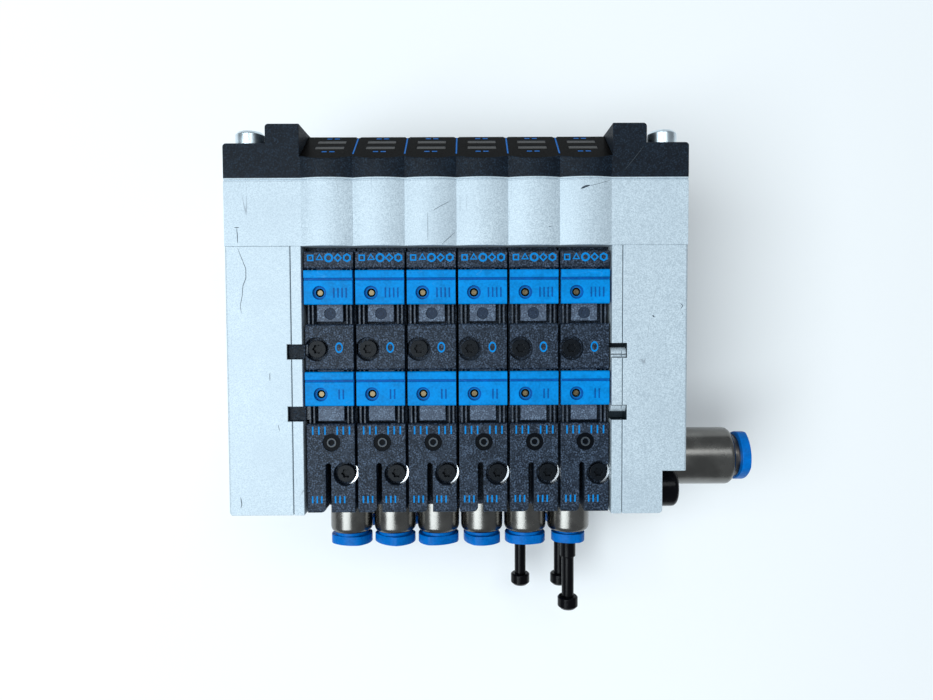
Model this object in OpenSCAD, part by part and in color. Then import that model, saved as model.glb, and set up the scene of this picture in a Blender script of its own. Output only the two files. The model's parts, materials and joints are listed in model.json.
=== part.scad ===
// Pneumatic valve terminal, lying on its mounting face.
// Valve slices stand side by side between two end plates, with an electrical unit above them.
// X runs across the slices, Y runs up to the electrical unit, Z runs out of the mounting face.
// The origin is the centre of the four mounting holes, in the mounting face.

/* [Valve slices] */
// Number of valve slices
slice_count = 6; // [6:1:8]
// Distance between neighbouring slice centres
slice_pitch = 10; // [10:0.1:10.4]
// Thickness of the flat seal between two slices
seal_thickness = 0.3; // [0.25:0.05:0.4]
// Height of the slices and the end plates
body_height = 52.6; // [52.6:0.1:54]
// Depth from the mounting face to the front plane
front_depth = 52; // [52:0.1:53]

/* [End plates] */
// Width of an end plate with its side plate
end_plate_width = 14.9; // [14.4:0.1:16]
// Thickness of the side plate between an end plate and the slices
side_plate_thickness = 2; // [1.8:0.1:2.2]
// Distance between mounting holes across the terminal
mount_spacing_x = 75; // [74:0.5:75]
// Distance between mounting holes up the terminal
mount_spacing_y = 41; // [40:0.5:41]
// Radius of a mounting hole, tapped M4
mount_hole_r = 1.65; // [1.5:0.05:1.7]

/* [Override slides] */
// Travel of an override slide
slide_travel = 3; // [2:0.1:3]
// Length of an override slide
slide_length = 6.7; // [6.5:0.1:6.8]
// Radius of a pilot pin
pin_r = 0.7; // [0.6:0.05:0.7]

/* [Pneumatic ports] */
// Outer radius of a working-port fitting
fitting_r = 4.8; // [4.4:0.05:4.8]
// Length of a working-port fitting below the slice
fitting_length = 10.1; // [8:0.1:11]
// Bore radius for the working-port tube
tube_r = 3.05; // [3:0.01:3.1]
// Bore radius for the thinner tube of the last ports
small_tube_r = 2.05; // [2:0.01:2.1]
// Outer radius of the supply fitting
supply_r = 6.5; // [6.3:0.1:6.6]
// Bore radius for the supply tube
supply_tube_r = 4.05; // [4:0.01:4.1]

/* [Electrical unit] */
// Height of the metal terminal housing
housing_height = 13.1; // [13:0.1:14]
// Height of the outer blocks of the black cover
cover_height = 6.6; // [6.4:0.1:7]
// How far each front scallop bulges
scallop_bulge = 1; // [0.6:0.1:1.2]

/* [Hidden] */
eps = 0.01;
metal = [0.78, 0.82, 0.86];
nickel = [0.66, 0.64, 0.60];
black_plastic = [0.12, 0.13, 0.15];
blue_plastic = [0.04, 0.42, 0.82];
ring_blue = [0.07, 0.33, 0.72];
steel = [0.72, 0.74, 0.76];
brass = [0.75, 0.65, 0.42];
rubber = [0.08, 0.08, 0.08];

half_stack = slice_count * slice_pitch / 2;
slice_half = (slice_pitch - seal_thickness) / 2;
half_height = body_height / 2;
inner_face = half_stack + seal_thickness / 2;
side_face = inner_face + side_plate_thickness;
half_width = half_stack + end_plate_width;
edge_chamfer = 0.35;
plate_corner_r = 0.8;
seam_gap = 0.15;
seam_depth = 1.5;

// Heights of the slice front, from the floor of the guides to the slides' top.
valve_depth = 37.5;
z_front = front_depth;
z_block = z_front - 0.8;
z_slide_low = z_front - 1.55;
z_rail = z_front - 1.65;
z_panel = z_front - 1.8;
z_floor = z_front - 3.8;

// Places up the slice front, counted from the slice's middle.
cover_low = -half_height + 0.25;
strip_top = half_height - 0.9;
strip_low = 22;
slide_14_top = 21.7;
middle_top = 11.2;
middle_low = 2.2;
slide_12_top = 1.9;
lower_top = -8.4;

pin_x = -1.7;
pin_from_top = 4.4;
pin_tip = z_front - 1;
pin_clearance = 0.05;
armature_r = 1.35;
armature_low = valve_depth + 1.5;
coil_r = 2.6;
coil_bore_r = 1.43;
coil_top = 46;

panel_half = 2.6;
rail_inner = 3.15;
rail_width = 0.4;
rail_outer = 3.95;
rail_underside = z_floor + 0.95;
leg_inner = 2.7;
leg_outer = 3.05;
hook_outer = 3.4;

cover_screw_places = [[-2.55, 6.3, 31.5], [2.85, -18.35, 33]];
counterbore_r = 2.35;
counterbore_floor = z_block - 2;
screw_head_r = 1.7;
screw_head_height = 1.4;
screw_r = 1;

spool_y = -3;
spool_r = 2.5;
spool_clearance = 0.03;
spool_low = 3.5;
spool_length = 30;
bore_floor = 1.5;
supply_gallery = [1.5, 20.5, 3];
exhaust_galleries = [[0.5, 6.5, 1.9], [0.5, 34.5, 1.9]];
port_rows = [27.3, 12.1];
port_thread_r = 3.5;
port_thread_depth = 6.2;
thread_clearance = 0.05;
passage_r = 1.5;
port_seat_depth = 10.5;
port_mouth = [0.9, 1.2, 0];

ring_gap = 0.7;
ring_flange = 2;
ring_sleeve = 2.8;
ring_bore_clearance = 0.12;
sleeve_wall = 0.6;
sleeve_clearance = 0.08;
ring_r = 4.65;
small_ring_r = 3.85;
ring_angles = [[18, 40, 160, 70, 0, 10], [50, 10, 75, 150, 0, 60]];

tie_places = [[14, 8], [14, 33], [-22.5, 20.5]];
tie_r = 2;
tie_hole_r = 2.1;
tie_head_r = 3.5;
tie_head_height = 4;
tie_head_depth = 4.4;
tie_end = 37;

supply_y = -19.7;
supply_z = 27;
supply_thread_r = 4.8;
supply_thread_end = half_width - 6.6;
supply_drop_x = half_width - 8.6;
supply_seat_depth = 15;
supply_length = 17.7;
supply_mouth = [1.45, 1.35, 0.4];
supply_ring_gap = 0.8;
supply_ring_flange = 2;
supply_ring_r = 6.15;
supply_ring_angle = 65;
exhaust_r = 4.3;
exhaust_depth = 6;
exhaust_drop_x = half_width - 7.6;

notch_x = half_width - 4.7;
notch_top = -17.9;
notch_floor = 39;
plug_y = -22.9;
plug_z = 43.5;
plug_r = 4.1;
plug_thread_r = 2.4;

pocket_width = 2.95;
pocket_height = 2.9;
pocket_depth = 4;
pocket_centres = [5.85, -6.3];
pocket_bar_r = 1.35;
pocket_bar_offsets = [-0.8, 1.3];

housing_top = half_height + housing_height;
cover_block_top = housing_top + cover_height;
tower_top = cover_block_top + 3.7;
legend_top = tower_top - 0.4;
legend_low = cover_block_top - 2.5;
legend_back = z_front - 8.7;
tower_inner = half_stack + 0.2;
tower_outer = half_stack + 6.75;
cover_corner_r = 0.7;
slope_angle = atan2(legend_top - legend_low, z_front - legend_back);
window_places = [4.45, 7.55];
window_size = [5.6, 1.4];
light_guide_length = 3;

shell_wall = 3;
cavity_half = half_stack + 3;
terminal_screw_x = half_width - 4.1;
terminal_screw_z = [z_front - 4.5, 12];
terminal_screw_r = 1.5;
terminal_head_r = 2.84;
terminal_head_height = 3;
terminal_screw_end = 18.5;

board_y = housing_top - 5;
board_thickness = 1.6;
connector_z = 22;
connector_top = legend_top + 3.8;
flange_size = [53, 12.5];
jack_x = 23.52;

ROW_NAMES = ["front", "rear"];

function slice_x(i) = (i - (slice_count + 1) / 2) * slice_pitch;
function numbered(name) = [for (i = [1 : slice_count]) str(name, i)];

// A profile drawn in Y and Z, extruded from x0 to x1.
module along_x(x0, x1) {
    translate([x0, 0, 0])
        rotate([90, 0, 90])
            linear_extrude(x1 - x0) children();
}

// A profile drawn in X and Z, extruded from y0 up to y1.
module along_y(y0, y1) {
    translate([0, y1, 0])
        rotate([90, 0, 0])
            linear_extrude(y1 - y0) children();
}

module block(low, high) {
    translate(low) cube(high - low);
}

module rod_x(x0, x1, y, z, r) {
    translate([x0, y, z])
        rotate([0, 90, 0])
            cylinder(h = x1 - x0, r = r, $fn = 64);
}

module rod_y(y0, y1, x, z, r) {
    translate([x, y1, z])
        rotate([90, 0, 0])
            cylinder(h = y1 - y0, r = r, $fn = 64);
}

module rod_z(z0, z1, x, y, r) {
    translate([x, y, z0])
        cylinder(h = z1 - z0, r = r, $fn = 64);
}

// The holes that run through every plate in the stack, from x0 to x1.
module stack_holes(x0, x1, grow = 0) {
    rod_x(x0, x1, supply_gallery[0], supply_gallery[1], supply_gallery[2] + grow);
    for (g = exhaust_galleries)
        rod_x(x0, x1, g[0], g[1], g[2] + grow);
    for (t = tie_places)
        rod_x(x0, x1, t[0], t[1], tie_hole_r + grow);
}

// ---- Valve slices ----

module valve_body() {
    difference() {
        block([-slice_half, -half_height, 0], [slice_half, half_height, valve_depth]);
        stack_holes(-slice_half - 1, slice_half + 1);
        rod_z(bore_floor, valve_depth + 1, 0, spool_y, spool_r);
        for (z = port_rows) {
            rod_y(-half_height - 1, -half_height + port_thread_depth, 0, z, port_thread_r);
            rod_y(-half_height, spool_y, 0, z, passage_r);
        }
        for (s = cover_screw_places)
            rod_z(s[2] - 0.3, valve_depth + 1, s[0], s[1], screw_r + thread_clearance);
    }
}

module valve_bodies() {
    color(black_plastic)
        for (i = [1 : slice_count])
            translate([slice_x(i), 0, 0]) valve_body();
}

// One raised block of the slice front, narrower by side_gap and with its front edges broken.
module front_block(y0, y1, side_gap) {
    edge = 0.25;
    along_x(-slice_half + side_gap, slice_half - side_gap)
        polygon([
            [y0, z_floor - 1], [y1, z_floor - 1], [y1, z_block - edge],
            [y1 - edge, z_block], [y0 + edge, z_block], [y0, z_block - edge]
        ]);
}

// The two rails and the middle panel that a slide runs on, from y0 to y1.
module slide_guide(y0, y1) {
    panel_gap = 0.45;
    block([-panel_half, y0 + panel_gap, z_floor - 1], [panel_half, y1 + eps, z_panel]);
    for (side = [-1, 1])
        for (x = [rail_inner, rail_outer])
            translate([side * (x + rail_width / 2), 0, 0])
                block([-rail_width / 2, y0 - eps, z_floor - 1], [rail_width / 2, y1 + eps, z_rail]);
}

// The hollow under a rail that a slide's hook runs in.
module rail_undercut(y0, y1) {
    for (side = [-1, 1])
        translate([side * (rail_inner + rail_width / 2), 0, 0])
            block([-rail_width / 2 - eps, y0, z_floor], [rail_width / 2 + eps, y1, rail_underside]);
}

// The round-ended slot between the two lower tongues, with the left tongue's corner rounded.
module tongue_slot() {
    slot_x = -0.53;
    slot_half = 0.54;
    slot_top = -16.2;
    slot_floor = z_front - 7;
    corner_r = 1.1;
    corner_x = slot_x - slot_half - corner_r;
    translate([0, 0, slot_floor])
        linear_extrude(z_front - slot_floor) {
            translate([slot_x - slot_half, cover_low - 1])
                square([2 * slot_half, slot_top - slot_half - cover_low + 1]);
            translate([slot_x, slot_top - slot_half]) circle(r = slot_half, $fn = 48);
            difference() {
                translate([corner_x, cover_low - 1]) square([corner_r + eps, corner_r + 1]);
                translate([corner_x, cover_low + corner_r]) circle(r = corner_r, $fn = 48);
            }
        }
}

// The two tabs on the first cover's side that stand in the left plates' pockets.
module pocket_tabs() {
    tab_gap = 0.08;
    tab_drop = 0.9;
    tab_end = -inner_face - pocket_width - slice_x(1) + tab_gap;
    tab_low = z_front - pocket_depth + tab_gap;
    half = pocket_height / 2 - tab_gap;
    for (y = pocket_centres) {
        block([tab_end, y - half, tab_low], [-slice_half, y + half, z_front - tab_drop]);
        block([tab_end, y - half, tab_low], [-rail_outer - rail_width + eps, y + half, z_rail]);
    }
}

module pilot_cover() {
    mark_y = -12.1;
    mark_r = 1.73;
    ring_r = 0.92;
    ring_bore = 0.55;
    mark_depth = 0.3;
    panel_mark_y = 13.25;
    panel_mark_r = 1.07;
    difference() {
        union() {
            block([-slice_half, cover_low, valve_depth], [slice_half, half_height, z_floor]);
            front_block(strip_low, strip_top, 0.05);
            front_block(middle_low, middle_top, 0.15);
            front_block(cover_low, lower_top, 0.15);
            slide_guide(middle_top, strip_low);
            slide_guide(lower_top, middle_low);
        }
        rail_undercut(middle_top, strip_low);
        rail_undercut(lower_top, middle_low);
        tongue_slot();
        rod_z(z_panel - 0.15, z_front, 0, panel_mark_y, panel_mark_r);
        difference() {
            rod_z(z_block - mark_depth, z_front, 0.15, mark_y, mark_r);
            rod_z(z_block - mark_depth - eps, z_block, 0.15, mark_y, ring_r);
        }
        rod_z(z_block - mark_depth, z_front, 0.15, mark_y, ring_bore);
        for (top = [slide_14_top, slide_12_top]) {
            rod_z(coil_top - eps, z_front, pin_x, top - pin_from_top, pin_r + pin_clearance);
            rod_z(valve_depth - 1, coil_top, pin_x, top - pin_from_top, coil_r + thread_clearance);
        }
        for (s = cover_screw_places) {
            rod_z(counterbore_floor, z_front, s[0], s[1], counterbore_r);
            rod_z(valve_depth - 1, z_front, s[0], s[1], screw_r + thread_clearance);
        }
    }
}

module pilot_covers() {
    color(black_plastic)
        for (i = [1 : slice_count])
            translate([slice_x(i), 0, 0]) {
                pilot_cover();
                if (i == 1) pocket_tabs();
            }
}

module six_lobe_socket(r, depth) {
    linear_extrude(depth) {
        circle(r = r, $fn = 48);
        for (a = [0 : 60 : 300])
            rotate(a)
                translate([r, 0]) circle(r = r * 0.28, $fn = 24);
    }
}

module cover_screws() {
    socket_r = 0.72;
    socket_depth = 0.8;
    head_top = counterbore_floor + screw_head_height;
    color(black_plastic)
        for (i = [1 : slice_count])
            for (s = cover_screw_places)
                translate([slice_x(i) + s[0], s[1], 0])
                    difference() {
                        union() {
                            rod_z(counterbore_floor, head_top, 0, 0, screw_head_r);
                            rod_z(s[2], counterbore_floor + eps, 0, 0, screw_r);
                        }
                        translate([0, 0, head_top - socket_depth])
                            six_lobe_socket(socket_r, socket_depth + 1);
                    }
}

module solenoid_coils() {
    gap = 0.1;
    color([0.55, 0.3, 0.15])
        for (i = [1 : slice_count])
            for (top = [slide_14_top, slide_12_top])
                translate([slice_x(i) + pin_x, top - pin_from_top, 0])
                    difference() {
                        rod_z(valve_depth + gap, coil_top - gap, 0, 0, coil_r);
                        rod_z(valve_depth, coil_top, 0, 0, coil_bore_r);
                    }
}

// One override slide, a plate with a ridge, two hooked legs and a hole over the pilot pin.
module override_slide(i, top) {
    end_gap = 0.12;
    slide_half = slice_half - end_gap;
    low = top - slide_length;
    ridge = 1.5;
    groove = 0.45;
    groove_depth = 0.4;
    face_drop = 0.12;
    edge = 0.2;
    z_face = z_front - face_drop;
    leg_margin = 0.2;
    hook_low = z_floor + 0.3;
    hook_top = rail_underside - 0.2;
    hole_r = 1.33;
    hole_depth = 0.6;
    groove_ceiling = pin_tip + 0.1;
    pin_y = top - pin_from_top;
    color(blue_plastic)
        translate([slice_x(i), 0, 0])
            difference() {
                union() {
                    along_x(-slide_half, slide_half)
                        polygon([
                            [low, z_slide_low], [top, z_slide_low],
                            [top, z_front - edge], [top - edge, z_front],
                            [top - ridge, z_front], [top - ridge - 0.1, z_front - groove_depth],
                            [top - ridge - groove, z_front - groove_depth],
                            [top - ridge - groove - 0.1, z_face],
                            [low + edge, z_face], [low, z_face - edge]
                        ]);
                    for (side = [-1, 1])
                        scale([side, 1, 1]) {
                            block([leg_inner, low + leg_margin, hook_low],
                                [leg_outer, top - leg_margin, z_slide_low + eps]);
                            block([leg_inner, low + leg_margin, hook_low],
                                [hook_outer, top - leg_margin, hook_top]);
                        }
                }
                rod_z(z_face - hole_depth, z_front + 1, pin_x, pin_y, hole_r);
                rod_z(z_slide_low - 1, z_front, pin_x, pin_y, pin_r + 0.15);
                rod_z(z_slide_low - 1, groove_ceiling, pin_x, pin_y + slide_travel, pin_r + 0.15);
                block([pin_x - pin_r - 0.15, pin_y, z_slide_low - 1],
                    [pin_x + pin_r + 0.15, pin_y + slide_travel, groove_ceiling]);
            }
}

// One pilot plunger: the magnet armature with the pin that shows in the slide's hole.
module pilot_plunger(i, top) {
    roof_gap = 0.05;
    dome = 0.2;
    color(brass)
        translate([slice_x(i) + pin_x, top - pin_from_top, 0])
            rotate_extrude($fn = 64)
                polygon([
                    [0, armature_low], [armature_r, armature_low],
                    [armature_r, coil_top - roof_gap], [pin_r, coil_top - roof_gap],
                    [pin_r, pin_tip - dome], [pin_r - dome, pin_tip], [0, pin_tip]
                ]);
}

// One valve spool: a shaft whose lands ride in the valve body's bore.
module valve_spool(i) {
    land_r = spool_r - spool_clearance;
    neck_r = 1.5;
    land = 3.4;
    gap = (spool_length - 5 * land) / 4;
    color(steel)
        translate([slice_x(i), spool_y, spool_low]) {
            rod_z(0, spool_length, 0, 0, neck_r);
            for (n = [0 : 4])
                rod_z(n * (land + gap), n * (land + gap) + land, 0, 0, land_r);
        }
}

// ---- Stack ----

module slice_seals() {
    margin = 1.2;
    hole_grow = 0.25;
    color(rubber)
        for (i = [0 : slice_count])
            translate([slice_x(i + 0.5), 0, 0])
                difference() {
                    block([-seal_thickness / 2, -half_height + margin, margin],
                        [seal_thickness / 2, half_height - margin, valve_depth - margin / 2]);
                    stack_holes(-1, 1, hole_grow);
                }
}

module tie_screws() {
    socket_r = 1.75;
    socket_depth = 2.2;
    head_face = -half_width + tie_head_depth - tie_head_height;
    color(steel)
        for (t = tie_places)
            difference() {
                union() {
                    rod_x(head_face, head_face + tie_head_height, t[0], t[1], tie_head_r);
                    rod_x(head_face + 1, tie_end, t[0], t[1], tie_r);
                }
                translate([head_face - 1, t[0], t[1]])
                    rotate([0, 90, 0])
                        cylinder(h = socket_depth + 1, r = socket_r, $fn = 6);
            }
}

// The two pockets that open on the slices, cut through the front of the plates.
// With bars, a round bar is left standing across the floor of each pocket.
module pockets(bars) {
    for (n = [0, 1])
        difference() {
            block([inner_face - 1, pocket_centres[n] - pocket_height / 2, z_front - pocket_depth],
                [inner_face + pocket_width, pocket_centres[n] + pocket_height / 2, z_front + 1]);
            if (bars)
                rod_x(inner_face - 2, inner_face + pocket_width + 1,
                    pocket_centres[n] + pocket_bar_offsets[n], z_front - 1 - pocket_bar_r, pocket_bar_r);
        }
}

// A right-hand side plate; the left one is its mirror image.
module side_plate(bars) {
    difference() {
        block([inner_face, -half_height, 0], [side_face, half_height, z_front]);
        stack_holes(inner_face - 1, side_face + 1);
        pockets(bars);
    }
}

module side_plates() {
    color(metal) {
        side_plate(true);
        mirror([1, 0, 0]) side_plate(false);
    }
}

// The plain end plate, with what both end plates share.
module end_plate_blank(bars) {
    corner_r = plate_corner_r;
    difference() {
        intersection() {
            along_y(-half_height, half_height)
                polygon([
                    [side_face, 0], [half_width, 0],
                    [half_width, z_front - edge_chamfer], [half_width - edge_chamfer, z_front],
                    [side_face + seam_gap, z_front], [side_face + seam_gap, z_front - seam_depth],
                    [side_face, z_front - seam_depth]
                ]);
            translate([0, 0, -1])
                linear_extrude(z_front + 2) {
                    translate([side_face, -half_height + corner_r])
                        square([half_width - side_face, body_height - corner_r]);
                    translate([side_face, -half_height])
                        square([half_width - side_face - corner_r, corner_r + eps]);
                    translate([half_width - corner_r, -half_height + corner_r])
                        circle(r = corner_r, $fn = 48);
                }
        }
        pockets(bars);
        for (side = [-1, 1])
            rod_z(-1, 8, mount_spacing_x / 2, side * mount_spacing_y / 2, mount_hole_r);
        for (z = terminal_screw_z)
            rod_y(terminal_screw_end - 0.5, half_height + 1, terminal_screw_x, z,
                terminal_screw_r + thread_clearance);
    }
}

module left_end_plate() {
    color(metal)
        difference() {
            mirror([1, 0, 0]) end_plate_blank(false);
            for (t = tie_places) {
                rod_x(-half_width - 1, -side_face + 1, t[0], t[1], tie_hole_r);
                rod_x(-half_width - 1, -half_width + tie_head_depth, t[0], t[1], tie_head_r + 0.2);
            }
            for (g = exhaust_galleries)
                rod_x(-exhaust_drop_x - 1, -side_face + 1, g[0], g[1], g[2]);
            rod_z(exhaust_galleries[0][1], exhaust_galleries[1][1], -exhaust_drop_x,
                exhaust_galleries[0][0], exhaust_galleries[0][2] - 0.1);
            rod_x(-half_width - 1, -half_width + exhaust_depth, exhaust_galleries[0][0],
                supply_gallery[1], exhaust_r);
        }
}

module right_end_plate() {
    rise = supply_gallery[0] - supply_y;
    run = supply_gallery[1] - supply_z;
    color(metal)
        difference() {
            end_plate_blank(true);
            for (t = tie_places)
                rod_x(side_face - 1, tie_end + 1, t[0], t[1], tie_hole_r);
            rod_x(side_face - 1, supply_drop_x + 2, supply_gallery[0], supply_gallery[1],
                supply_gallery[2]);
            rod_x(supply_drop_x - 2, half_width + 1, supply_y, supply_z,
                supply_thread_r + thread_clearance);
            translate([supply_drop_x, supply_y, supply_z])
                rotate([-90 + atan2(run, rise), 0, 0])
                    cylinder(h = norm([rise, run]), r = 2.5, $fn = 64);
            block([notch_x, -half_height - 1, notch_floor],
                [half_width + 1, notch_top, z_front + 1]);
            translate([notch_x - plate_corner_r, -half_height, notch_floor])
                linear_extrude(z_front)
                    difference() {
                        translate([0, -1]) square([plate_corner_r + 1, plate_corner_r + 1]);
                        translate([0, plate_corner_r]) circle(r = plate_corner_r, $fn = 48);
                    }
            rod_x(notch_x - 5, notch_x + 1, plug_y, plug_z, plug_thread_r + thread_clearance);
        }
}

// ---- Electrical unit ----

// The outline of the electrical unit from above, with one bulge in front of each slice.
module scalloped_outline(inset = 0) {
    bulge_r = (pow(slice_pitch / 2, 2) + pow(scallop_bulge, 2)) / (2 * scallop_bulge);
    translate([-half_width, 0])
        square([2 * half_width, z_front - inset]);
    for (i = [1 : slice_count])
        intersection() {
            translate([slice_x(i), z_front + scallop_bulge - bulge_r - inset])
                circle(r = bulge_r, $fn = 96);
            translate([slice_x(i) - slice_pitch / 2, z_front - 2])
                square([slice_pitch, 4]);
        }
}

module terminal_housing() {
    lip = 0.35;
    groove = 0.25;
    groove_depth = 0.3;
    ledge = 1.5;
    ledge_y = board_y;
    color(metal)
        difference() {
            union() {
                along_y(half_height, housing_top - lip - groove) scalloped_outline();
                along_y(housing_top - lip - groove - eps, housing_top - lip + eps)
                    scalloped_outline(groove_depth);
                along_y(housing_top - lip, housing_top) scalloped_outline();
            }
            block([-cavity_half, ledge_y, shell_wall],
                [cavity_half, housing_top + 1, z_front - shell_wall]);
            block([-cavity_half + ledge, half_height - 1, shell_wall + ledge],
                [cavity_half - ledge, ledge_y + eps, z_front - shell_wall - ledge]);
            for (side = [-1, 1])
                for (z = terminal_screw_z)
                    rod_y(half_height - 1, housing_top + 1, side * terminal_screw_x, z,
                        terminal_screw_r + thread_clearance);
        }
}

// What is cut off to round the upper right corner at x and y, all along Z.
module rounded_corner(x, y, r) {
    translate([0, 0, -1])
        linear_extrude(z_front + 4)
            difference() {
                translate([x - r, y - r]) square(r + 1);
                translate([x - r, y - r]) circle(r = r, $fn = 48);
            }
}

// Places children on the legend slope: X across, then up the slope, then out of it.
module on_slope(x, up) {
    translate([x, legend_low, z_front])
        rotate([slope_angle - 90, 0, 0])
            translate([0, up, 0]) children();
}

module window_block(depth, grow = 0) {
    translate([0, 0, -depth / 2])
        cube([window_size[0] + grow, window_size[1] + grow, depth + eps], center = true);
}

module terminal_cover() {
    wall = 2.1;
    roof = legend_top - wall;
    notch_r = 0.5;
    slope_tan = tan(slope_angle);
    color(black_plastic)
        difference() {
            union() {
                along_y(housing_top, cover_block_top) scalloped_outline();
                intersection() {
                    along_y(housing_top, legend_top) scalloped_outline();
                    block([-tower_inner, housing_top, 0],
                        [tower_inner, legend_top, z_front + 2]);
                }
                for (side = [-1, 1])
                    scale([side, 1, 1])
                        block([tower_inner - eps, housing_top, 0],
                            [tower_outer, tower_top, z_front]);
            }
            for (side = [-1, 1])
                scale([side, 1, 1]) {
                    rounded_corner(half_width, cover_block_top, cover_corner_r);
                    rounded_corner(tower_outer, tower_top, cover_corner_r);
                }
            along_x(-tower_inner, tower_inner)
                polygon([
                    [legend_top, legend_back],
                    [legend_low - 3 * slope_tan, z_front + 3],
                    [legend_top + 1, z_front + 3],
                    [legend_top + 1, legend_back]
                ]);
            along_x(-cavity_half + 4, cavity_half - 4)
                polygon([
                    [housing_top - 1, shell_wall], [roof, shell_wall],
                    [roof, legend_back - 0.7], [legend_low - 0.6, z_front - 2.5],
                    [housing_top - 1, z_front - 2.5]
                ]);
            for (i = [1 : slice_count - 1])
                rod_z(-1, z_front, slice_x(i + 0.5), legend_top + 0.2, notch_r);
            for (i = [1 : slice_count])
                for (up = window_places)
                    on_slope(slice_x(i), up) window_block(light_guide_length + 1, 0.1);
            block([-19.8, roof - 1, connector_z - 4.5], [19.8, legend_top + 1, connector_z + 4.5]);
            for (side = [-1, 1]) {
                rod_y(roof - 1, legend_top + 1, side * jack_x, connector_z, 1.6);
                for (z = terminal_screw_z)
                    rod_y(housing_top - 1, cover_block_top + 1, side * terminal_screw_x, z,
                        terminal_screw_r + thread_clearance);
            }
        }
}

module light_guides() {
    color([0.35, 0.36, 0.38])
        for (i = [1 : slice_count])
            for (up = window_places)
                on_slope(slice_x(i), up)
                    translate([0, 0, -0.05]) window_block(light_guide_length);
}

module terminal_screws() {
    socket_r = 1.45;
    socket_depth = 1.6;
    head_edge = 0.5;
    head_top = cover_block_top + terminal_head_height;
    color(steel)
        for (side = [-1, 1])
            for (z = terminal_screw_z)
                translate([side * terminal_screw_x, 0, z])
                    difference() {
                        rotate([-90, 0, 0])
                            rotate_extrude($fn = 64)
                                polygon([
                                    [0, terminal_screw_end], [terminal_screw_r, terminal_screw_end],
                                    [terminal_screw_r, cover_block_top],
                                    [terminal_head_r, cover_block_top],
                                    [terminal_head_r, head_top - head_edge],
                                    [terminal_head_r - head_edge, head_top], [0, head_top]
                                ]);
                        translate([0, head_top + 1, 0])
                            rotate([90, 0, 0])
                                cylinder(h = socket_depth + 1, r = socket_r, $fn = 6);
                    }
}

module circuit_board() {
    margin = 0.3;
    contact = [6, 3.5, 2.4];
    driver = [12, 1.6, 8];
    color([0.08, 0.3, 0.16]) {
        block([-cavity_half + margin, board_y, shell_wall + margin],
            [cavity_half - margin, board_y + board_thickness, z_front - shell_wall - margin]);
        for (i = [1 : slice_count])
            translate([slice_x(i) - contact[0] / 2, board_y - contact[1], z_front - 9])
                cube([contact[0], contact[1] + eps, contact[2]]);
        for (side = [-1, 1])
            translate([side * 17 - driver[0] / 2, board_y + board_thickness - eps, 33])
                cube(driver);
    }
}

// The D-shaped outline of the connector, width at its wider side.
module d_outline(width, height) {
    lean = height * tan(10);
    polygon([
        [-width / 2, height / 2], [width / 2, height / 2],
        [width / 2 - lean, -height / 2], [-width / 2 + lean, -height / 2]
    ]);
}

module multipin_connector() {
    roof = legend_top - 2.1;
    flange_thickness = 0.8;
    contact_pitch = 2.77;
    contact_r = 0.55;
    contact_depth = 4;
    row_gap = 1.42;
    color(steel) {
        difference() {
            union() {
                block([-flange_size[0] / 2, roof - flange_thickness, connector_z - flange_size[1] / 2],
                    [flange_size[0] / 2, roof, connector_z + flange_size[1] / 2]);
                translate([0, 0, connector_z])
                    along_y(roof - eps, connector_top) d_outline(38.9, 8.3);
                translate([0, 0, connector_z])
                    along_y(board_y + board_thickness, roof) d_outline(36, 7.5);
            }
            for (row = [0, 1])
                for (n = [0 : 12 - row])
                    rod_y(connector_top - contact_depth, connector_top + 1,
                        (n - (12 - row) / 2) * contact_pitch,
                        connector_z + (row == 0 ? row_gap : -row_gap), contact_r);
            for (side = [-1, 1])
                rod_y(roof - 2, roof + 1, side * jack_x, connector_z, 1.55);
        }
        for (side = [-1, 1])
            translate([side * jack_x, 0, connector_z])
                difference() {
                    union() {
                        rod_y(roof - 3, legend_top + eps, 0, 0, 1.45);
                        translate([0, connector_top - 0.6, 0])
                            rotate([90, 30, 0])
                                cylinder(h = connector_top - 0.6 - legend_top, r = 2.75, $fn = 6);
                    }
                    rod_y(legend_top - 2, connector_top, 0, 0, 1.25);
                }
    }
}

// ---- Fittings ----

// A push-in fitting turned about Y, its seat at 0 and its tube end downwards.
// mouth is [rounding across, rounding along, neck length] at the tube end.
module push_in_fitting(body_r, length, bore_r, stem_r, stem_depth, seat_depth, mouth) {
    room_r = sleeve_r(bore_r) + sleeve_clearance;
    room_depth = 3.4;
    through_r = bore_r * 0.6;
    round_start = length - mouth[2] - mouth[1];
    rounding = [for (a = [0 : 22.5 : 90])
        [body_r - mouth[0] * (1 - cos(a)), round_start + mouth[1] * sin(a)]];
    rotate([90, 0, 0])
        rotate_extrude($fn = 96)
            polygon(concat(
                [[through_r, -stem_depth], [stem_r, -stem_depth], [stem_r, 0], [body_r, 0]],
                rounding,
                [[body_r - mouth[0], length], [room_r, length], [room_r, length - room_depth],
                    [bore_r, length - room_depth], [bore_r, length - seat_depth],
                    [through_r, length - seat_depth]]
            ));
}

// A release ring turned about Y: an oval flange in front of the fitting and a sleeve inside it.
// flange is [radius across its long side, thickness]; angle is how the oval happens to stand.
module release_ring(flange, bore, gap, sleeve, angle) {
    bore_r = ring_bore(bore);
    flat_share = 0.87;
    side_r = flange[0] * 1.5;
    rotate([90, 0, 0])
        difference() {
            union() {
                rod_z(gap - sleeve, gap + eps, 0, 0, sleeve_r(bore));
                translate([0, 0, gap])
                    rotate(angle)
                        linear_extrude(flange[1])
                            intersection() {
                                circle(r = flange[0], $fn = 96);
                                lens(side_r - flange[0] * flat_share, side_r);
                            }
            }
            rod_z(gap - sleeve - 1, gap + flange[1] + 1, 0, 0, bore_r);
        }
}

// The lens that two large circles share, each moved by offset along Y.
module lens(offset, r) {
    intersection() {
        translate([0, offset]) circle(r = r, $fn = 128);
        translate([0, -offset]) circle(r = r, $fn = 128);
    }
}

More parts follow.
